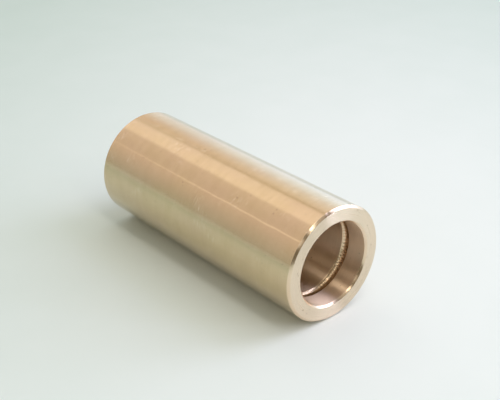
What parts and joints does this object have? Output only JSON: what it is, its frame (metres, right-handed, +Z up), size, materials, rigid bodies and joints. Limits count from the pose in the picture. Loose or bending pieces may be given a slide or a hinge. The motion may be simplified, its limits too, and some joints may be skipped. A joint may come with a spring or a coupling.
{
  "type": "sleeve bushing",
  "caption": "Thick-walled bronze sleeve bushing with chamfered ends and round-bottomed ring grooves in the bore, pressed into a housing to carry a shaft.",
  "frame": {"origin": "centre of the bore at mid-length, which is also the centre of the part's box", "axes": "+X along the bore, towards the front end; +Z up, with the sleeve lying on its side"},
  "size_m": [0.125, 0.05, 0.05],
  "materials": {
    "bronze": "bright as-machined cast bronze: fine turning marks round the outside and on the faces, smoother bore"
  },
  "bodies": {
    "root": {"bushing_sleeve": "bronze"}
  },
  "joints": []
}
